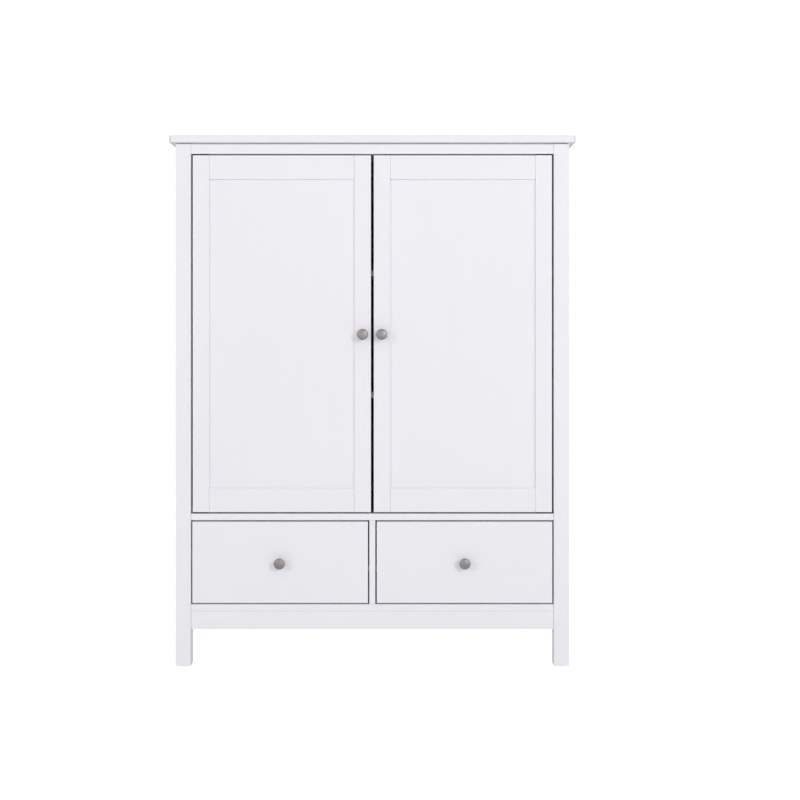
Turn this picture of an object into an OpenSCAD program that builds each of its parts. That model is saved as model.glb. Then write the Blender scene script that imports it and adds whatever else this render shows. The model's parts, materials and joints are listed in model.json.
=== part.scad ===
// Two-door, two-drawer armoire in white lacquered wood.
// Front is -Y, up is +Z, and the origin is on the floor under the middle of the whole box.

/* [Overall size] */
// Height from the floor to the top board's upper face
total_h = 1400; // [1300:5:1600]
// Width across the posts
body_w = 1037; // [900:1:1200]
// Depth from the front of the posts to the back of the posts
body_d = 483; // [440:1:600]

/* [Top board] */
// Thickness of the top board
top_t = 18.5; // [15:0.5:25]
// How far the top board stands past the posts, at the front and the sides
top_over = 16.5; // [5:0.5:24]
// Radius of the top board's two front corners
top_corner_r = 12; // [4:1:30]
// Height of the groove that throws a dark line under the top board
shadow_h = 2.5; // [1:0.5:5]

/* [Frame] */
// Width of each post, seen from the front
post_w = 40; // [35:1:50]
// Depth of each post
post_d = 40; // [30:1:44]
// How far the rails, doors and drawer fronts lie behind the front of the posts
face_set = 3; // [1:0.5:6]
// Thickness of rails, doors and drawer fronts
rail_t = 18; // [18:1:20]
// Height of the rail over the doors
top_rail_h = 28.5; // [24:0.5:60]
// Height of the rail at the back of the top
back_rail_h = 40; // [36:1:60]
// Clear height under the apron
leg_h = 99.5; // [80:0.5:160]
// Height of the apron
apron_h = 47.5; // [30:0.5:60]
// Thickness of the boards above and below the drawers
deck_t = 18; // [15:0.5:22]
// Height of the opening for the drawers
drawer_open_h = 221.5; // [200:0.5:260]
// Thickness of the upright between the drawers
divider_t = 16; // [14:1:22]
// Thickness of the side panels
side_t = 14; // [12:1:16]
// How far the side panels lie inside the outer faces of the posts
side_set = 5; // [3:1:8]
// Thickness of the back panel
back_t = 4; // [3:0.5:6]
// Thickness of the shelves
shelf_t = 16; // [14:0.5:22]
// Height of the lower shelf's middle over the board under it
lower_shelf_h = 311; // [200:0.5:400]
// Height of the upper shelf's middle over the board under it
upper_shelf_h = 634.5; // [500:0.5:750]

/* [Doors] */
// Gap between a door and its post
door_side_gap = 4.6; // [3.5:0.1:6]
// Gap between the two doors
door_mid_gap = 7.5; // [3:0.5:9]
// Gap above and below each door
door_end_gap = 3.5; // [2.5:0.25:4]
// Width of the door stiles
stile_w = 43.5; // [40:0.5:70]
// Height of the door rails
door_rail_h = 63.5; // [45:0.5:90]
// Depth of the door panel behind the face of the door
panel_set = 6; // [4:0.5:7]
// Width of the fine groove where a door rail meets a stile
joint_line = 0.6; // [0.3:0.1:1]

/* [Drawers] */
// Gap around each drawer front
drawer_gap = 3.5; // [2:0.25:4]
// Length of the drawer box behind its front
drawer_len = 420; // [380:5:420]
// Height of the drawer box
drawer_box_h = 190; // [150:5:190]
// How far a drawer pulls out before it meets its stop
drawer_travel = 320; // [200:5:320]

/* [Knobs] */
// Diameter of each knob
knob_d = 29; // [26:1:36]
// How far a knob stands out from the face it is fixed to
knob_reach = 28; // [24:1:32]
// Distance from a door's free edge to the middle of its knob
knob_edge = 21.25; // [20:0.25:26]
// How far the door knobs lie below the middle of the doors
knob_drop = 1.5; // [0:0.5:100]

/* [Hidden] */
$fn = 48;

lacquer = "#eceaf0";
inner_white = "#e4e3e8";
raw_wood = "#d9bd8f";
nickel = "#949089";
zinc = "#b4b7bb";
plastic = "#dddcd8";
brass = "#b9a06a";
black_steel = "#2a2a2c";
black_plastic = "#262627";

fit = 0.05;         // radial room around a pin, screw or bush
slip = 0.1;         // room around a tongue or a tray in its groove
cut = 1;            // how far a cutter reaches past the face it opens

// Depth positions
total_d = body_d + max(top_over, knob_reach - face_set);
back_y = total_d / 2;
post_y = back_y - body_d;
face_y = post_y + face_set;
inner_y = face_y + rail_t;
post_back_y = post_y + post_d;
rear_post_y = back_y - post_d;
back_set = 5;
panel_y = back_y - back_set - back_t;

// Width positions, measured from the middle
half_w = body_w / 2;
open_x = half_w - post_w;
side_out_x = half_w - side_set;
side_in_x = side_out_x - side_t;
side_rail_set = 3;
side_rail_x = half_w - side_rail_set;
shadow_in = 8;

// Height positions
glide_h = 3;
deck_z = leg_h + apron_h;
drawer_z = deck_z + deck_t;
mid_z = drawer_z + drawer_open_h;
door_z = mid_z + deck_t;
top_z = total_h - top_t;
door_top_z = top_z - top_rail_h;
door_open_h = door_top_z - door_z;
shelf_room = 10;
lower_shelf_z = door_z + lower_shelf_h - shelf_t / 2;
upper_shelf_z = door_z + upper_shelf_h - shelf_t / 2;

// Doors and their pivots
door_w = open_x - door_side_gap - door_mid_gap / 2;
door_in_x = door_mid_gap / 2;
door_out_x = door_in_x + door_w;
door_low_z = door_z + door_end_gap;
door_high_z = door_top_z - door_end_gap;
pivot_in = 14;
pivot_x = door_out_x - pivot_in;
pivot_y = face_y + rail_t / 2;
pin_r = 3;
pin_len = 9.5;
bush_r = 5;
bush_len = 12;
plate_t = 2;
plate_near = 15;
plate_far = 25;
plate_half_w = 7;
plate_screws = [-9.5, 17];
small_screw_r = 2;
small_head_r = 3.6;
small_screw_len = 13;
washer_r = 5.5;
washer_room = 0.4;
washer_t = door_end_gap - washer_room;
panel_t = 6;
joint_deep = 1.5;
groove_depth = 8;
panel_grip = 7.5;

// Knobs and the screws that hold them
knob_screw_r = 2;
knob_head_r = 4;
knob_head_h = 2.4;
knob_bore = 13;
knob_grip = 12;
door_knob_x = door_in_x + knob_edge;
door_knob_z = (door_low_z + door_high_z) / 2 - knob_drop;

// Drawers and their runners
front_in_x = divider_t / 2 + drawer_gap;
front_out_x = open_x - drawer_gap;
drawer_mid_x = (front_in_x + front_out_x) / 2;
front_low_z = drawer_z + drawer_gap;
front_high_z = mid_z - drawer_gap;
drawer_mid_z = (front_low_z + front_high_z) / 2;
box_room = 6;
box_t = 12;
box_in_x = divider_t / 2 + box_room;
box_out_x = open_x - box_room;
box_lift = 10;
tray_lift = 8;
runner_lift = 80;
box_z = drawer_z + box_lift;
box_back_y = inner_y + drawer_len;
tray_t = 4;
tray_z = box_z + tray_lift;
tray_grip = 5;
runner_z = box_z + runner_lift;
runner_h = 15.4;
runner_groove_h = 17;
runner_groove_depth = 6;
runner_reach = 11;
runner_gap = 0.5;
bearer_h = 40;
stop_t = 12;
stop_w = 60;
stop_h = 29.5;
box_screw_len = 35;
box_screw_rise = [44, 154];

// Small parts of the carcass
cam_r = 7.5;
cam_depth = 12;
cam_in = 24;
cam_slot = [10, 2, 1.4];
peg_r = 2.5;
peg_depth = 7.5;
peg_out = 8;
peg_inset = 40;
peg_step = 32;
peg_hole_depth = 8;
glide_r = 12;
nail_r = 1.5;
nail_len = 15;
cap_r = 4;
cap_t = 1;
cap_plug_r = 2.5;
cap_plug_len = 8;
cap_drop = 8;
wall_hole_r = 3;
wall_hole_x = 60;
wall_plate_w = 160;
wall_plate_h = 24;
wall_hole_z = top_z - back_rail_h / 2;
catch_half_w = 42;
catch_t = 16;
catch_h = 20;
catch_room = 0.4;
strike = [28, 1, 12];
strike_in_x = 10;
strike_top = 3;

// ---- Shared shapes ----

// A box from its low corner to its high corner.
module block(low, high) {
    translate(low) cube(high - low);
}

// What is built for the right-hand side, drawn on the left.
module on_left() {
    mirror([1, 0, 0]) children();
}

// Puts a shape made about +Z along the depth, with +Z turned to the front.
module facing_front(x, y, z) {
    translate([x, y, z]) rotate([90, 0, 0]) children();
}

// A rail lying along X, its outer face at y = 0, with a pocket for a cam at each end.
module rail(length, height) {
    difference() {
        translate([-length / 2, 0, 0]) cube([length, rail_t, height]);
        cam_places(length, height) cylinder(r = cam_r + fit, h = cam_depth + cut);
    }
}

// The two cam positions of a rail: +Z of the child points out of the inner face.
module cam_places(length, height) {
    for (end = [-1, 1])
        translate([end * (length / 2 - cam_in), rail_t - cam_depth, height / 2])
            rotate([-90, 0, 0]) children();
}

// One cam lock: a disc with a cross slot in its face.
module cam() {
    difference() {
        cylinder(r = cam_r, h = cam_depth);
        for (turn = [0, 90])
            translate([0, 0, cam_depth]) rotate([0, 0, turn])
                cube([cam_slot[0], cam_slot[1], 2 * cam_slot[2]], center = true);
    }
}

front_len = 2 * open_x;
side_len = rear_post_y - post_back_y;
side_mid_y = (rear_post_y + post_back_y) / 2;

// Where each rail lies.
module at_front(z) {
    translate([0, face_y, z]) children();
}
module at_back(z) {
    translate([0, panel_y, z]) rotate([0, 0, 180]) children();
}
module at_right(z) {
    translate([side_rail_x, side_mid_y, z]) rotate([0, 0, 90]) children();
}

// A countersunk screw: head face at z = 0, shank towards -Z.
module csk_screw(length, room = 0) {
    translate([0, 0, -plate_t])
        cylinder(r1 = small_screw_r + room, r2 = small_head_r + room, h = plate_t);
    translate([0, 0, -length]) cylinder(r = small_screw_r + room, h = length);
}

// The knob's screw: head behind the face, shank through it and into the knob.
module knob_screw() {
    translate([0, 0, -rail_t - knob_head_h]) cylinder(r = knob_head_r, h = knob_head_h);
    translate([0, 0, -rail_t]) cylinder(r = knob_screw_r, h = rail_t + knob_grip);
}

module knob_screw_hole() {
    translate([0, 0, -rail_t - cut])
        cylinder(r = knob_screw_r + fit, h = rail_t + 2 * cut);
}

// ---- Carcass ----

module top_board() {
    half = half_w + top_over;
    front = post_y - top_over;
    color(lacquer) translate([0, 0, top_z]) linear_extrude(top_t) {
        translate([-half, front + top_corner_r])
            square([2 * half, back_y - front - top_corner_r]);
        translate([top_corner_r - half, front])
            square([2 * (half - top_corner_r), 2 * top_corner_r]);
        for (side = [-1, 1])
            translate([side * (half - top_corner_r), front + top_corner_r])
                circle(r = top_corner_r, $fn = 96);
    }
}

// Cuts the groove under the top board, along the front and both sides of the frame.
module shadow_groove() {
    difference() {
        block([-half_w - cut, post_y - cut, top_z - shadow_h],
              [half_w + cut, back_y + cut, top_z + cut]);
        block([shadow_in - half_w, post_y + shadow_in, top_z - shadow_h - cut],
              [half_w - shadow_in, back_y + 2 * cut, top_z + 2 * cut]);
    }
}

// One post with its low y edge at y, drilled at the foot for the nail of its glide.
module post(y) {
    color(lacquer) difference() {
        block([open_x, y, glide_h], [half_w, y + post_d, top_z]);
        shadow_groove();
        translate([half_w - post_w / 2, y + post_d / 2, glide_h - cut])
            cylinder(r = nail_r + fit, h = nail_len + cut);
    }
}

module peg_places(shelf_z) {
    for (y = [post_back_y + peg_inset, rear_post_y - peg_inset])
        translate([side_in_x, y, shelf_z - peg_r - fit]) rotate([0, 90, 0]) children();
}

module side_panel() {
    color(lacquer) difference() {
        block([side_in_x, post_back_y, deck_z], [side_out_x, rear_post_y, door_top_z]);
        for (shelf_z = [lower_shelf_z, upper_shelf_z], step = [-1, 0, 1])
            translate([0, 0, step * peg_step]) peg_places(shelf_z)
                translate([0, 0, -cut])
                    cylinder(r = peg_r + fit, h = peg_hole_depth + cut);
    }
}

module side_rail(z, height) {
    color(lacquer) difference() {
        at_right(z) rail(side_len, height);
        shadow_groove();
    }
}

module top_front_rail() {
    color(lacquer) difference() {
        at_front(door_top_z) rail(front_len, top_rail_h);
        shadow_groove();
        pivot_seats(door_top_z, 1);
    }
}

module wall_holes(y_from, y_to) {
    for (side = [-1, 1])
        facing_front(side * wall_hole_x, y_to, wall_hole_z)
            cylinder(r = wall_hole_r, h = y_to - y_from);
}

module top_back_rail() {
    color(inner_white) difference() {
        at_back(top_z - back_rail_h) rail(front_len, back_rail_h);
        wall_holes(panel_y - rail_t - cut, panel_y + cut);
    }
}

module apron() {
    color(lacquer) at_front(leg_h) rail(front_len, apron_h);
}

// A full-depth board that reaches the side panels between the posts.
module deck(z) {
    translate([0, 0, z]) linear_extrude(deck_t) {
        translate([-open_x, face_y]) square([2 * open_x, panel_y - face_y]);
        translate([-side_in_x, post_back_y]) square([2 * side_in_x, side_len]);
    }
}

module mid_board() {
    color(lacquer) difference() {
        deck(mid_z);
        pivot_seats(door_z, -1);
    }
}

module bottom_board() {
    color(lacquer) deck(deck_z);
}

cap_z = mid_z - cap_drop;

module drawer_divider() {
    color(lacquer) difference() {
        block([-divider_t / 2, face_y, drawer_z], [divider_t / 2, panel_y, mid_z]);
        facing_front(0, face_y + cap_plug_len + slip, cap_z)
            cylinder(r = cap_plug_r + fit, h = cap_plug_len + cut);
    }
}

module divider_cap() {
    color(plastic) facing_front(0, face_y, cap_z) {
        cylinder(r1 = cap_r, r2 = cap_r - cap_t / 2, h = cap_t);
        translate([0, 0, -cap_plug_len]) cylinder(r = cap_plug_r, h = cap_plug_len);
    }
}

module back_panel() {
    color(inner_white) difference() {
        block([-open_x, panel_y, deck_z], [open_x, panel_y + back_t, top_z]);
        wall_holes(panel_y - cut, panel_y + back_t + cut);
    }
}

// A shelf close behind the doors, notched around the posts.
module shelf(z) {
    gap = 1;
    front = inner_y + shelf_room;
    color(inner_white) translate([0, 0, z]) linear_extrude(shelf_t) {
        translate([gap - side_in_x, post_back_y + gap])
            square([2 * (side_in_x - gap), side_len - 2 * gap]);
        translate([gap - open_x, front])
            square([2 * (open_x - gap), panel_y - gap - front]);
    }
}

module shelf_pins() {
    color(zinc) for (shelf_z = [lower_shelf_z, upper_shelf_z], side = [0, 1])
        mirror([side, 0, 0]) peg_places(shelf_z)
            translate([0, 0, -peg_out]) cylinder(r = peg_r, h = peg_out + peg_depth);
}

module foot_glides() {
    color(plastic) for (side = [-1, 1], y = [post_y, rear_post_y])
        translate([side * (half_w - post_w / 2), y + post_d / 2, 0]) {
            cylinder(r1 = glide_r - 1, r2 = glide_r, h = glide_h);
            cylinder(r = nail_r, h = glide_h + nail_len - cut);
        }
}

module cam_locks() {
    color(zinc) {
        at_front(door_top_z) cam_places(front_len, top_rail_h) cam();
        at_front(leg_h) cam_places(front_len, apron_h) cam();
        at_back(top_z - back_rail_h) cam_places(front_len, back_rail_h) cam();
        for (side = [0, 1])
            mirror([side, 0, 0]) {
                at_right(door_top_z) cam_places(side_len, top_rail_h) cam();
                at_right(leg_h) cam_places(side_len, apron_h) cam();
            }
    }
}

module wall_plate() {
    y = panel_y - rail_t;
    color(zinc) difference() {
        block([-wall_plate_w / 2, y - plate_t, wall_hole_z - wall_plate_h / 2],
              [wall_plate_w / 2, y, wall_hole_z + wall_plate_h / 2]);
        wall_holes(y - plate_t - cut, y + cut);
    }
}

// ---- Door pivots ----

// Right-hand pivot position at height z. With up = 1 the child's +Z points down to the door.
module pivot_place(z, up) {
    translate([pivot_x, pivot_y, z]) mirror([0, 0, up > 0 ? 1 : 0]) children();
}

// The pocket and screw holes for a pivot plate on each side.
module pivot_seats(z, up) {
    for (side = [0, 1])
        mirror([side, 0, 0]) pivot_place(z, up) {
            block([-plate_far - slip, -plate_half_w - slip, -plate_t],
                  [plate_near + slip, plate_half_w + slip, cut]);
            for (x = plate_screws)
                translate([-x, 0, -small_screw_len - cut])
                    cylinder(r = small_screw_r + fit, h = small_screw_len + cut);
        }
}

// A pivot plate let in flush, with its pin, and the screws that hold it.
module pivot() {
    difference() {
        union() {
            block([-plate_far, -plate_half_w, -plate_t], [plate_near, plate_half_w, 0]);
            cylinder(r = pin_r, h = door_end_gap + pin_len);
        }
        for (x = plate_screws) translate([-x, 0, 0]) csk_screw(plate_t + cut, fit);
    }
    for (x = plate_screws) translate([-x, 0, 0]) csk_screw(small_screw_len);
}

module door_pivots() {
    color(black_steel) {
        pivot_place(door_top_z, 1) pivot();
        pivot_place(door_z, -1) pivot();
    }
    color(black_steel) pivot_place(door_z, -1) difference() {
        cylinder(r = washer_r, h = washer_t);
        translate([0, 0, -cut]) cylinder(r = pin_r + fit, h = washer_t + 2 * cut);
    }
}

// A magnetic catch behind the top rail, which also stops both doors.
module door_catch() {
    front = inner_y + strike[1] + catch_room;
    color(black_plastic) {
        block([-catch_half_w, inner_y, door_top_z], [catch_half_w, inner_y + catch_t,
              door_top_z + catch_h]);
        block([-catch_half_w, front, door_top_z - catch_h],
              [catch_half_w, inner_y + catch_t, door_top_z]);
    }
}

// ---- Doors, built for the right-hand side ----

module door_groove(x_from, x_to) {
    y = face_y + panel_set;
    block([x_from, y - slip, door_low_z - cut],
          [x_to, y + panel_t + slip, door_high_z + cut]);
}

module door_hinge_stile() {
    edge = door_out_x - stile_w;
    color(lacquer) difference() {
        block([edge, face_y, door_low_z], [door_out_x, inner_y, door_high_z]);
        door_groove(edge - cut, edge + groove_depth);
        for (z = [door_low_z - cut, door_high_z - bush_len])
            translate([pivot_x, pivot_y, z]) cylinder(r = bush_r + fit, h = bush_len + cut);
    }
}

module door_lock_stile() {
    edge = door_in_x + stile_w;
    color(lacquer) difference() {
        block([door_in_x, face_y, door_low_z], [edge, inner_y, door_high_z]);
        door_groove(edge - groove_depth, edge + cut);
        facing_front(door_knob_x, face_y, door_knob_z) knob_screw_hole();
    }
}

// A door rail with a tongue at each end and a groove for the panel along one edge.
module door_rail(z, groove_z) {
    x0 = door_in_x + stile_w;
    x1 = door_out_x - stile_w;
    y = face_y + panel_set;
    grip = panel_grip;
    color(lacquer) difference() {
        union() {
            block([x0, face_y, z], [x1, inner_y, z + door_rail_h]);
            block([x0 - grip, y, z], [x1 + grip, y + panel_t, z + door_rail_h]);
        }
        block([x0 - grip - cut, y - slip, groove_z - groove_depth],
              [x1 + grip + cut, y + panel_t + slip, groove_z + groove_depth]);
        for (x = [x0, x1 - joint_line])
            block([x, face_y - cut, z - cut],
                  [x + joint_line, face_y + joint_deep, z + door_rail_h + cut]);
    }
}

module door_top_rail() {
    door_rail(door_high_z - door_rail_h, door_high_z - door_rail_h);
}

module door_bottom_rail() {
    door_rail(door_low_z, door_low_z + door_rail_h);
}

module door_panel() {
    y = face_y + panel_set;
    color(lacquer)
        block([door_in_x + stile_w - panel_grip, y, door_low_z + door_rail_h - panel_grip],
              [door_out_x - stile_w + panel_grip, y + panel_t,
               door_high_z - door_rail_h + panel_grip]);
}

module door_bushes() {
    color(brass) for (z = [door_low_z, door_high_z - bush_len])
        translate([pivot_x, pivot_y, z]) difference() {
            cylinder(r = bush_r, h = bush_len);
            translate([0, 0, -cut]) cylinder(r = pin_r + fit, h = bush_len + 2 * cut);
        }
}

// The knob's screw and the strike plate for the catch.
module door_fixings() {
    color(zinc) {
        facing_front(door_knob_x, face_y, door_knob_z) knob_screw();
        translate([strike_in_x, inner_y, door_high_z - strike_top - strike[2]]) cube(strike);
    }
}

// ---- Knob ----

// An arc of points about c, from angle a0 to a1.
function arc(c, r, a0, a1, n) =
    [for (i = [0:n]) let (a = a0 + (a1 - a0) * i / n) [c[0] + r * cos(a), c[1] + r * sin(a)]];

// A round knob on a short waisted neck, its axis along +Z, drilled from below for its screw.
module knob() {
    foot_r = 9;
    foot_h = 2;
    waist_r = 4.5;
    waist_z = foot_h + waist_r;
    rim_r = 3;
    crown_r = 42;
    crown_a = asin((knob_d / 2 - rim_r) / (crown_r - rim_r));
    rim_z = knob_reach - crown_r + (crown_r - rim_r) * cos(crown_a);
    color(nickel) difference() {
        rotate_extrude($fn = 72) polygon(concat(
            [[0, 0], [foot_r, 0]],
            arc([foot_r, waist_z], waist_r, 270, 90, 10),
            arc([knob_d / 2 - rim_r, rim_z], rim_r, -60, 90 - crown_a, 6),
            arc([0, knob_reach - crown_r], crown_r, 90 - crown_a, 90, 10)
        ));
        translate([0, 0, -cut]) cylinder(r = knob_screw_r + fit, h = knob_bore + cut);
    }
}

module door_knob() {
    facing_front(door_knob_x, face_y, door_knob_z) knob();
}

module drawer_knob() {
    facing_front(drawer_mid_x, face_y, drawer_mid_z) knob();
}

// ---- Drawers, built for the right-hand side ----

// The groove for the drawer's bottom, cut in the sides and the front.
module tray_groove() {
    block([box_in_x + box_t - tray_grip, inner_y - tray_grip, tray_z - slip],
          [box_out_x - box_t + tray_grip, box_back_y + cut, tray_z + tray_t + slip]);
}

module drawer_front() {
    color(lacquer) difference() {
        block([front_in_x, face_y, front_low_z], [front_out_x, inner_y, front_high_z]);
        tray_groove();
        facing_front(drawer_mid_x, face_y, drawer_mid_z) knob_screw_hole();
    }
}

// The screws that hold the back: head on the outer face of each side.
module box_screw_places() {
    for (rise = box_screw_rise) {
        translate([box_out_x, box_back_y - box_t / 2, box_z + rise])
            rotate([0, 90, 0]) children();
        translate([box_in_x, box_back_y - box_t / 2, box_z + rise])
            rotate([0, -90, 0]) children();
    }
}

// A drawer side from x to x + box_t, grooved for its runner on the face at runner_x.
module drawer_side(x, runner_x) {
    depth = runner_groove_depth;
    color(raw_wood) difference() {
        block([x, inner_y, box_z], [x + box_t, box_back_y, box_z + drawer_box_h]);
        tray_groove();
        block([runner_x - depth, inner_y - cut, runner_z - runner_groove_h / 2],
              [runner_x + depth, box_back_y + cut, runner_z + runner_groove_h / 2]);
        box_screw_places() csk_screw(box_screw_len, fit);
    }
}

module drawer_outer_side() {
    drawer_side(box_out_x - box_t, box_out_x);
}

module drawer_inner_side() {
    drawer_side(box_in_x, box_in_x);
}

module drawer_back() {
    color(raw_wood) difference() {
        block([box_in_x + box_t, box_back_y - box_t, tray_z + tray_t + slip],
              [box_out_x - box_t, box_back_y, box_z + drawer_box_h]);
        box_screw_places() csk_screw(box_screw_len, fit);
    }
}

module drawer_bottom() {
    grip = tray_grip - slip;
    color(raw_wood)
        block([box_in_x + box_t - grip, inner_y - grip, tray_z],
              [box_out_x - box_t + grip, box_back_y, tray_z + tray_t]);
}

module drawer_fixings() {
    color(zinc) {
        facing_front(drawer_mid_x, face_y, drawer_mid_z) knob_screw();
        box_screw_places() csk_screw(box_screw_len - cut);
    }
}

// Both runners of one drawer, the bearer behind the outer one, and the block that stops the drawer.
module drawer_runners() {
    low = runner_z - runner_h / 2;
    front = inner_y + runner_gap;
    stop_y = box_back_y - box_t - drawer_travel - runner_gap;
    color(raw_wood) {
        block([divider_t / 2, front, low],
              [divider_t / 2 + runner_reach, rear_post_y, low + runner_h]);
        block([open_x - runner_reach, front, low], [open_x, rear_post_y, low + runner_h]);
        block([open_x, post_back_y, runner_z - bearer_h / 2],
              [side_in_x, rear_post_y, runner_z + bearer_h / 2]);
        block([drawer_mid_x - stop_w / 2, stop_y - stop_t, mid_z - stop_h],
              [drawer_mid_x + stop_w / 2, stop_y, mid_z]);
    }
}

// ---- Drawing ----

top_board();
on_left() post(post_y);  // front_left_post
post(post_y);  // front_right_post
on_left() post(rear_post_y);  // rear_left_post
post(rear_post_y);  // rear_right_post
on_left() side_panel();  // left_side_panel
side_panel();  // right_side_panel
on_left() side_rail(door_top_z, top_rail_h);  // left_side_top_rail
side_rail(door_top_z, top_rail_h);  // right_side_top_rail
on_left() side_rail(leg_h, apron_h);  // left_side_bottom_rail
side_rail(leg_h, apron_h);  // right_side_bottom_rail
top_front_rail();
top_back_rail();
mid_board();
bottom_board();
apron();
drawer_divider();
divider_cap();
back_panel();
shelf(upper_shelf_z);  // upper_shelf
shelf(lower_shelf_z);  // lower_shelf
shelf_pins();
foot_glides();
cam_locks();
wall_plate();
on_left() door_pivots();  // left_door_pivots
door_pivots();  // right_door_pivots
door_catch();
on_left() drawer_runners();  // left_drawer_runners
drawer_runners();  // right_drawer_runners

on_left() door_hinge_stile();  // left_door_hinge_stile
on_left() door_lock_stile();  // left_door_lock_stile
on_left() door_top_rail();  // left_door_top_rail
on_left() door_bottom_rail();  // left_door_bottom_rail
on_left() door_panel();  // left_door_panel
on_left() door_knob();  // left_door_knob
on_left() door_bushes();  // left_door_bushes
on_left() door_fixings();  // left_door_fixings
door_hinge_stile();  // right_door_hinge_stile
door_lock_stile();  // right_door_lock_stile
door_top_rail();  // right_door_top_rail
door_bottom_rail();  // right_door_bottom_rail
door_panel();  // right_door_panel
door_knob();  // right_door_knob
door_bushes();  // right_door_bushes
door_fixings();  // right_door_fixings

on_left() drawer_front();  // left_drawer_front
on_left() drawer_outer_side();  // left_drawer_outer_side
on_left() drawer_inner_side();  // left_drawer_inner_side
on_left() drawer_back();  // left_drawer_back
on_left() drawer_bottom();  // left_drawer_bottom
on_left() drawer_knob();  // left_drawer_knob
on_left() drawer_fixings();  // left_drawer_fixings
drawer_front();  // right_drawer_front
drawer_outer_side();  // right_drawer_outer_side
drawer_inner_side();  // right_drawer_inner_side
drawer_back();  // right_drawer_back
drawer_bottom();  // right_drawer_bottom
drawer_knob();  // right_drawer_knob
drawer_fixings();  // right_drawer_fixings
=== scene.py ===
import json
import math

import bmesh
import bpy
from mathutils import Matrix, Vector


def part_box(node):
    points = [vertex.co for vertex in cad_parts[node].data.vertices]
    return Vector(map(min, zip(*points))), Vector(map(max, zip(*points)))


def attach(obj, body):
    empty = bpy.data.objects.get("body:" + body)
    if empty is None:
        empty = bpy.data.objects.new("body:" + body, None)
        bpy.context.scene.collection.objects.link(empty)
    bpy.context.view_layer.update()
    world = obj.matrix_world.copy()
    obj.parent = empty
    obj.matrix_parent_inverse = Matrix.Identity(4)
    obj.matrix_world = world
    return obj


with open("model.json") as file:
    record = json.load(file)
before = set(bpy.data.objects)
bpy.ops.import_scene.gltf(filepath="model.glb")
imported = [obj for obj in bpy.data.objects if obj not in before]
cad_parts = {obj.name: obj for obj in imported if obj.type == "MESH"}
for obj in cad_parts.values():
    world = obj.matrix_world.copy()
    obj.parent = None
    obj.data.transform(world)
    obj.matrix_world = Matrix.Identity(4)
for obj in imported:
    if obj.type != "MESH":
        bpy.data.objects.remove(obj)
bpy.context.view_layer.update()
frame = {"nodes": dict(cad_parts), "record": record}
NODES = frame["nodes"]
BODY = {node: body for body, nodes in frame["record"]["behaviour"]["bodies"].items()
        for node in nodes}
SLOT = {part["node"]: part["material_slot"] for part in frame["record"]["subparts"]}


# ---- Camera: level, a little above the middle, straight at the doors ----

SENSOR_MM = 36.0
LENS_MM = 59.0
PICTURE_W = 2.108        # metres that the picture's width covers at the front of the posts
CAM_X = 0.073            # how far the camera stands to the right of the middle, in metres
CAM_Z = 0.915            # its height above the floor, in metres
CAM_SHIFT_Y = -0.1       # as a part of the picture's width: the picture takes in more floor


def make_camera():
    data = bpy.data.cameras.new("camera")
    data.sensor_width = SENSOR_MM
    data.lens = LENS_MM
    data.shift_y = CAM_SHIFT_Y
    camera = bpy.data.objects.new("camera", data)
    bpy.context.scene.collection.objects.link(camera)
    front_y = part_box("front_left_post")[0][1]
    distance = PICTURE_W * LENS_MM / SENSOR_MM
    camera.location = (CAM_X, front_y - distance, CAM_Z)
    camera.rotation_euler = (math.radians(90), 0, 0)
    bpy.context.scene.camera = camera


# ---- Node trees ----

MIX_FACTOR, MIX_A, MIX_B, MIX_RESULT = 0, 6, 7, 2     # a Mix node's sockets for colours


class Tree:
    """Short calls for building one material's nodes. Colours are linear, with alpha."""

    def __init__(self, name):
        self.material = bpy.data.materials.new(name)
        self.material.use_nodes = True
        self.nodes = self.material.node_tree.nodes
        self.links = self.material.node_tree.links
        self.shader = self.nodes["Principled BSDF"]

    def node(self, kind, settings=None, **sockets):
        """Adds a node. A socket's name is written with _ for each space."""
        n = self.nodes.new(kind)
        for key, value in (settings or {}).items():
            setattr(n, key, value)
        for key, value in sockets.items():
            self.put(n, key.replace("_", " "), value)
        return n

    def put(self, n, socket, value):
        """Gives a node's input a value, or links another node's output to it."""
        target = n.inputs[socket]
        if isinstance(value, bpy.types.NodeSocket):
            self.links.new(value, target)
        else:
            target.default_value = value

    def coords(self, scale):
        """Object coordinates in metres, scaled along each axis."""
        place = self.node("ShaderNodeTexCoord").outputs["Object"]
        return self.node("ShaderNodeMapping", Vector=place, Scale=scale).outputs["Vector"]

    def noise(self, scale, detail=3.0, rough=0.55, distortion=0.0):
        """Noise with the given features per metre on each axis."""
        n = self.node("ShaderNodeTexNoise", Vector=self.coords(scale), Scale=1.0,
                      Detail=detail, Roughness=rough, Distortion=distortion)
        return n.outputs["Fac"]

    def span(self, value, low, high, from_low=0.3, from_high=0.7):
        """Maps from_low..from_high, where most noise lies, on to low..high."""
        n = self.node("ShaderNodeMapRange", Value=value)
        for socket, v in (("From Min", from_low), ("From Max", from_high),
                          ("To Min", low), ("To Max", high)):
            n.inputs[socket].default_value = v
        return n.outputs["Result"]

    def mix(self, factor, a, b):
        """Mixes two colours: factor 0 gives the first, 1 the second."""
        n = self.node("ShaderNodeMix", {"data_type": "RGBA"})
        for socket, value in ((MIX_FACTOR, factor), (MIX_A, a), (MIX_B, b)):
            self.put(n, socket, value)
        return n.outputs[MIX_RESULT]

    def bump(self, height, distance, normal=None):
        """Relief of the given height in metres, on top of an earlier normal."""
        n = self.node("ShaderNodeBump", Height=height, Distance=distance, Strength=1.0)
        if normal is not None:
            self.put(n, "Normal", normal)
        return n.outputs["Normal"]

    def finish(self, colour, roughness, normal=None, **sockets):
        """Sets up the shader and gives back the material."""
        self.put(self.shader, "Base Color", colour)
        self.put(self.shader, "Roughness", roughness)
        if normal is not None:
            self.put(self.shader, "Normal", normal)
        for key, value in sockets.items():
            self.put(self.shader, key.replace("_", " "), value)
        return self.material


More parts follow.
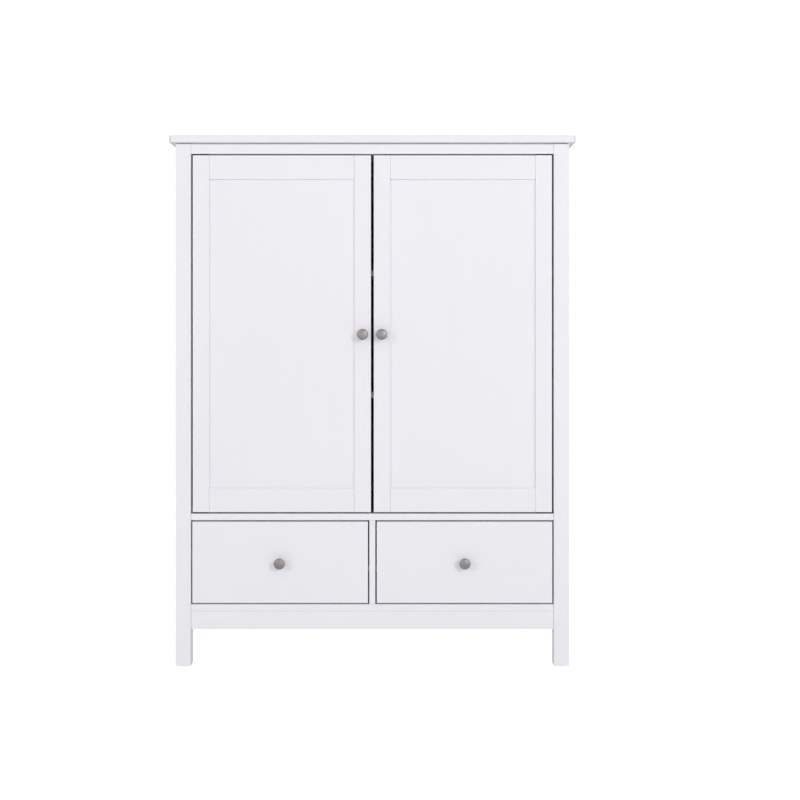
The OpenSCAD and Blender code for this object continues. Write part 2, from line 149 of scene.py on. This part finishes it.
def along(axis, length, width):
    """A mapping scale that stretches a texture along one axis: features per metre."""
    return tuple(length if i == axis else width for i in range(3))


# ---- Materials ----

X, Y, Z = 0, 1, 2


def lacquer(name, axis, light, shade, gloss=0.52):
    """White satin lacquer over planed wood, with the grain along one axis."""
    t = Tree(name)
    cloud = t.noise((2.3, 2.3, 2.3), detail=2.0)
    grain = t.noise(along(axis, 7.0, 230.0), detail=4.0, rough=0.6, distortion=0.25)
    rings = t.noise(along(axis, 1.6, 42.0), detail=2.0, distortion=0.6)
    spray = t.noise((900.0, 900.0, 900.0), detail=1.0)
    base = t.mix(t.span(cloud, 0.0, 1.0), light, shade)
    faint = tuple(0.985 * c for c in shade[:3]) + (1.0,)
    colour = t.mix(t.span(rings, 0.0, 0.35), base, faint)
    roughness = t.span(grain, gloss - 0.04, gloss + 0.06)
    normal = t.bump(rings, 0.00006)
    normal = t.bump(grain, 0.00003, normal=normal)
    normal = t.bump(spray, 0.000012, normal=normal)
    return t.finish(colour, roughness, normal, Coat_Weight=0.04, Coat_Roughness=0.4)


def pine(name, axis):
    """Planed pine under clear lacquer, with the grain along one axis."""
    t = Tree(name)
    cloud = t.noise((3.0, 3.0, 3.0), detail=2.0)
    rings = t.noise(along(axis, 0.9, 34.0), detail=2.0, rough=0.4, distortion=0.5)
    fibre = t.noise(along(axis, 9.0, 420.0), detail=4.0, rough=0.65)
    pale, warm, dark = (0.74, 0.55, 0.31, 1), (0.66, 0.46, 0.235, 1), (0.47, 0.28, 0.115, 1)
    base = t.mix(t.span(cloud, 0.0, 1.0), pale, warm)
    ringed = t.mix(t.span(rings, 0.0, 0.75, 0.5, 0.62), base, dark)
    colour = t.mix(t.span(fibre, 0.0, 0.22), ringed, dark)
    normal = t.bump(rings, 0.00012)
    normal = t.bump(fibre, 0.00008, normal=normal)
    return t.finish(colour, t.span(fibre, 0.42, 0.62), normal)


def hardboard(name, axis, middle, white_below):
    """Thin board, white on one face and brown pressed fibre on the other.

    The face changes where the coordinate on the given axis passes the board's middle.
    """
    t = Tree(name)
    place = t.node("ShaderNodeTexCoord").outputs["Object"]
    split = t.node("ShaderNodeSeparateXYZ", Vector=place).outputs[axis]
    blend = 0.0004
    low, high = (0.0, 1.0) if white_below else (1.0, 0.0)
    brown_side = t.span(split, low, high, middle - blend, middle + blend)
    flecks = t.noise((260.0, 260.0, 260.0), detail=4.0, rough=0.7)
    weave = t.noise((1300.0, 1300.0, 1300.0), detail=1.0)
    cloud = t.noise((4.0, 4.0, 4.0), detail=2.0)
    fibre = t.mix(t.span(flecks, 0.0, 1.0), (0.30, 0.19, 0.105, 1), (0.41, 0.27, 0.16, 1))
    fibre = t.mix(t.span(cloud, 0.0, 0.3), fibre, (0.25, 0.155, 0.085, 1))
    white = t.mix(t.span(cloud, 0.0, 1.0), (0.83, 0.825, 0.84, 1), (0.80, 0.795, 0.81, 1))
    colour = t.mix(brown_side, white, fibre)
    normal = t.bump(flecks, 0.00005)
    normal = t.bump(weave, 0.00003, normal=normal)
    return t.finish(colour, t.span(brown_side, 0.45, 0.8, 0.0, 1.0), normal)


def brushed_metal(name, colour, dark, gloss, lines, depth=0.000012):
    """Metal with fine brushing: lines gives the brushing's features per metre on each axis."""
    t = Tree(name)
    brush = t.noise(lines, detail=3.0, rough=0.7)
    cloud = t.noise((120.0, 120.0, 120.0), detail=2.0)
    tone = t.mix(t.span(cloud, 0.0, 1.0), colour, dark)
    tone = t.mix(t.span(brush, 0.0, 0.35), tone, dark)
    roughness = t.span(brush, gloss - 0.05, gloss + 0.08)
    return t.finish(tone, roughness, t.bump(brush, depth), Metallic=1.0)


def painted_metal(name, colour, gloss):
    """Thin baked paint on steel, with a slight orange peel and random patches rubbed a little
    paler.
    """
    t = Tree(name)
    peel = t.noise((700.0, 700.0, 700.0), detail=2.0)
    rub = t.noise((150.0, 150.0, 150.0), detail=4.0, rough=0.7)
    paler = tuple(1.9 * c for c in colour[:3]) + (1.0,)
    tone = t.mix(t.span(rub, 0.0, 0.6, 0.5, 0.75), colour, paler)
    return t.finish(tone, t.span(peel, gloss - 0.06, gloss + 0.06), t.bump(peel, 0.00002))


def moulded_plastic(name, colour, gloss):
    """Moulded plastic with a fine spark-eroded texture."""
    t = Tree(name)
    grit = t.noise((1600.0, 1600.0, 1600.0), detail=2.0)
    cloud = t.noise((40.0, 40.0, 40.0), detail=1.0)
    darker = tuple(0.94 * c for c in colour[:3]) + (1.0,)
    tone = t.mix(t.span(cloud, 0.0, 1.0), colour, darker)
    return t.finish(tone, t.span(grit, gloss - 0.05, gloss + 0.05), t.bump(grit, 0.00002))


# Linear colours of the outer and inner lacquer: the light tone and the cloudy shade in it
WHITE, WHITE_SHADE = (0.852, 0.846, 0.885, 1.0), (0.838, 0.833, 0.874, 1.0)
INNER, INNER_SHADE = (0.83, 0.82, 0.82, 1.0), (0.815, 0.805, 0.805, 1.0)


def make_materials():
    back_low, back_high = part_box("back_panel")
    tray_low, tray_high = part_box("left_drawer_bottom")
    back_middle = (back_low[Y] + back_high[Y]) / 2
    tray_middle = (tray_low[Z] + tray_high[Z]) / 2
    return {
        "lacquer_x": lacquer("lacquer_along_x", X, WHITE, WHITE_SHADE),
        "lacquer_y": lacquer("lacquer_along_y", Y, WHITE, WHITE_SHADE),
        "lacquer_z": lacquer("lacquer_along_z", Z, WHITE, WHITE_SHADE),
        "inner_x": lacquer("inner_lacquer_along_x", X, INNER, INNER_SHADE, gloss=0.58),
        "pine_x": pine("pine_along_x", X),
        "pine_y": pine("pine_along_y", Y),
        "back": hardboard("back_hardboard", Y, back_middle, white_below=True),
        "tray": hardboard("tray_hardboard", Z, tray_middle, white_below=False),
        "nickel": brushed_metal("satin_nickel", (0.371, 0.339, 0.338, 1), (0.297, 0.27, 0.27, 1),
                                0.45, (900.0, 900.0, 90.0)),
        "zinc": brushed_metal("zinc_plate", (0.62, 0.63, 0.65, 1), (0.50, 0.51, 0.54, 1),
                              0.34, (260.0, 260.0, 260.0), depth=0.000022),
        "brass": brushed_metal("turned_brass", (0.72, 0.55, 0.27, 1), (0.58, 0.42, 0.19, 1),
                               0.28, (40.0, 40.0, 1500.0)),
        "black": painted_metal("black_finished_steel", (0.034, 0.034, 0.036, 1), 0.42),
        "plastic": moulded_plastic("white_moulded_plastic", (0.80, 0.80, 0.785, 1.0), 0.42),
        "catch": moulded_plastic("black_moulded_plastic", (0.035, 0.035, 0.036, 1.0), 0.46),
    }


# ---- Finish of each CAD node ----

# Lacquered pieces whose grain stands upright or runs front to back; on the rest it runs along x
STANDING = ("post", "stile", "side_panel", "door_panel", "drawer_divider")
FRONT_TO_BACK = ("side_top_rail", "side_bottom_rail")
PLAIN_SLOTS = {"inner_lacquer": "inner_x", "knob_metal": "nickel", "zinc_steel": "zinc",
               "black_steel": "black", "brass_bush": "brass", "white_plastic": "plastic",
               "black_plastic": "catch"}


def material_for(node):
    """The material's key for a CAD node, from its slot and the way its grain runs."""
    slot = SLOT[node]
    if slot == "white_lacquer":
        if any(word in node for word in STANDING):
            return "lacquer_z"
        return "lacquer_y" if any(word in node for word in FRONT_TO_BACK) else "lacquer_x"
    if slot == "raw_pine":
        return "pine_x" if node.endswith("_back") else "pine_y"
    if slot == "thin_board":
        return "back" if node == "back_panel" else "tray"
    return PLAIN_SLOTS[slot]


def dress(node, materials):
    """Gives a CAD node its material."""
    slots = NODES[node].data.materials
    slots.clear()
    slots.append(materials[material_for(node)])


# Radius of the eased edges, in metres
EASE_SMALL = 0.0003      # knobs, fittings and everything not named below
EASE_EDGE = 0.0008       # plain rails, side panels and drawer boxes
EASE_POST = 0.001
EASE_DOOR = 0.0011       # door frames and panels
EASE_BOARD = 0.0015      # drawer fronts, boards, shelves, apron and divider
EASE_TOP = 0.002         # the top board

WELD_GAP = 0.00001       # corners of a mesh that are closer than this are one corner
FLAT_DEGREES = 1         # faces that meet at less than this are one flat face
EDGE_DEGREES = 40        # an edge sharper than this is eased
EASE_STEPS = 3
EASE_STEPS_TOP = 4


def ease_width(node):
    """The radius of a CAD node's eased edges."""
    if node == "top_board":
        return EASE_TOP
    if "door_" in node and node.endswith(("stile", "rail", "panel")):
        return EASE_DOOR
    if node.endswith("post"):
        return EASE_POST
    if node.endswith(("drawer_front", "board", "shelf", "apron", "divider")):
        return EASE_BOARD
    if node.endswith(("rail", "side_panel", "door_catch")) or "drawer_" in node:
        return EASE_EDGE
    return EASE_SMALL


def ease(node):
    """Rounds a CAD node's edges with modifiers, after the pieces of each flat face are joined."""
    piece = NODES[node]
    weld = piece.modifiers.new("weld", "WELD")
    weld.merge_threshold = WELD_GAP
    flat = piece.modifiers.new("flat", "DECIMATE")
    flat.decimate_type = "DISSOLVE"
    flat.angle_limit = math.radians(FLAT_DEGREES)
    bevel = piece.modifiers.new("bevel", "BEVEL")
    bevel.width = ease_width(node)
    bevel.segments = EASE_STEPS_TOP if node == "top_board" else EASE_STEPS
    bevel.limit_method = "ANGLE"
    bevel.angle_limit = math.radians(EDGE_DEGREES)
    bevel.use_clamp_overlap = False
    normals = piece.modifiers.new("normals", "WEIGHTED_NORMAL")
    normals.keep_sharp = True


# ---- Nails that hold the back panel, which the CAD leaves out ----

# Radius and height above the panel of each ring of a head, in metres, from its rim inwards
NAIL_RINGS = ((0.0021, 0.0), (0.0020, 0.0003), (0.0014, 0.0006), (0.0007, 0.0007))
NAIL_SIDES = 16
NAIL_EVERY = 0.11        # about how far apart the nails are
NAIL_INSET = 0.012       # from the panel's side edge to the first nail
NAIL_UP = 0.009          # from a board's lower face to its row of nails


def add_nail(mesh, x, y, z):
    """Adds one low domed nail head, facing back, to a bmesh."""
    turns = [2 * math.pi * i / NAIL_SIDES for i in range(NAIL_SIDES)]
    rings = [[mesh.verts.new((x + radius * math.cos(turn), y + height,
                              z + radius * math.sin(turn))) for turn in turns]
             for radius, height in NAIL_RINGS]
    for low, high in zip(rings, rings[1:]):
        for i in range(NAIL_SIDES):
            j = (i + 1) % NAIL_SIDES
            mesh.faces.new((low[j], low[i], high[i], high[j])).smooth = True
    mesh.faces.new(list(reversed(rings[-1]))).smooth = True


def spaced(low, high):
    """Even places from low to high, about one nail's spacing apart."""
    steps = max(1, round((high - low) / NAIL_EVERY))
    return [low + (high - low) * i / steps for i in range(steps + 1)]


def make_nails(material):
    """Rows of nail heads where the back panel lies on each board behind it."""
    low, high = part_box("back_panel")
    shape = bmesh.new()
    for board in ("top_back_rail", "mid_board", "bottom_board"):
        for x in spaced(low[0] + NAIL_INSET, high[0] - NAIL_INSET):
            add_nail(shape, x, high[1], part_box(board)[0][2] + NAIL_UP)
    mesh = bpy.data.meshes.new("back_nails")
    shape.to_mesh(mesh)
    shape.free()
    mesh.materials.append(material)
    nails = bpy.data.objects.new("back_nails", mesh)
    bpy.context.scene.collection.objects.link(nails)
    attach(nails, BODY["back_panel"])


# ---- Lights, floor and backdrop ----

AIM = (0.0, -0.2, 0.75)  # near the middle of the object
AMBIENT = 0.475          # strength of the pale room all round
SEEN_WHITE = 1.1         # strength of the plain white behind the object
FLOOR_HALF = 40.0        # half the floor's width, in metres
FLOOR_DROP = 0.0005      # how far the floor that gives light lies below the one that is seen
FLOOR_GLOW = 0.131       # light of its own that the lower floor gives
SEEN_FLOOR_GLOW = 0.9    # the same for the floor that is seen
FLOOR_ROUGHNESS = 0.9


def area_light(name, place, size, watts):
    """A square or oblong light that points at AIM. The place and size are in metres."""
    data = bpy.data.lights.new(name, "AREA")
    data.shape = "RECTANGLE"
    data.size, data.size_y = size
    data.energy = watts
    light = bpy.data.objects.new(name, data)
    light.location = place
    light.rotation_euler = (Vector(AIM) - Vector(place)).to_track_quat("-Z", "Y").to_euler()
    bpy.context.scene.collection.objects.link(light)


def make_lights():
    area_light("key_left", (-3.5, -4.65, 2.05), (1.3, 1.3), 47.0)
    area_light("key_right", (2.95, -5.65, 2.4), (1.3, 1.3), 101.0)
    area_light("front_fill", (0.0, -9.0, 1.5), (6.0, 3.0), 44.0)
    area_light("high_front", (0.6, -3.6, 4.4), (4.0, 2.0), 12.0)
    area_light("back_fill", (0.0, 4.0, 3.0), (3.0, 2.0), 40.0)


def make_world():
    """Pale even light, plain white to the camera."""
    world = bpy.data.worlds.new("studio")
    world.use_nodes = True
    nodes, links = world.node_tree.nodes, world.node_tree.links
    background = nodes["Background"]
    seen = nodes.new("ShaderNodeLightPath").outputs["Is Camera Ray"]
    strength = nodes.new("ShaderNodeMapRange")
    strength.inputs["To Min"].default_value = AMBIENT
    strength.inputs["To Max"].default_value = SEEN_WHITE
    links.new(seen, strength.inputs["Value"])
    links.new(strength.outputs["Result"], background.inputs["Strength"])
    background.inputs["Color"].default_value = (1.0, 1.0, 1.0, 1.0)
    bpy.context.scene.world = world


def matt(name, colour, glow):
    """A matt material that gives some white light of its own."""
    return Tree(name).finish(colour, FLOOR_ROUGHNESS, Emission_Strength=glow,
                             Emission_Color=(1.0, 1.0, 1.0, 1.0))


def floor_plane(name, z, material):
    half = FLOOR_HALF
    mesh = bpy.data.meshes.new(name)
    mesh.from_pydata([(-half, -half, z), (half, -half, z), (half, half, z), (-half, half, z)],
                     [], [(0, 1, 2, 3)])
    mesh.materials.append(material)
    obj = bpy.data.objects.new(name, mesh)
    bpy.context.scene.collection.objects.link(obj)
    return obj


def make_floor():
    """A pale floor that lights the object, and a glowing copy of it that only the camera sees.

    The copy is plain white except for soft, faint shadows where the object stands.
    """
    lit = matt("pale_floor", (0.78, 0.78, 0.785, 1.0), FLOOR_GLOW)
    floor = floor_plane("floor", -FLOOR_DROP, lit)
    floor.visible_camera = False
    white = matt("white_floor", (0.30, 0.30, 0.305, 1.0), SEEN_FLOOR_GLOW)
    seen = floor_plane("floor_seen", 0.0, white)
    seen.visible_diffuse = seen.visible_glossy = seen.visible_shadow = False


# ---- Assembly ----

make_camera()
materials = make_materials()
for node in NODES:
    dress(node, materials)
    ease(node)
make_nails(materials["zinc"])
make_lights()
make_world()
make_floor()
bpy.context.scene.view_settings.view_transform = "Standard"
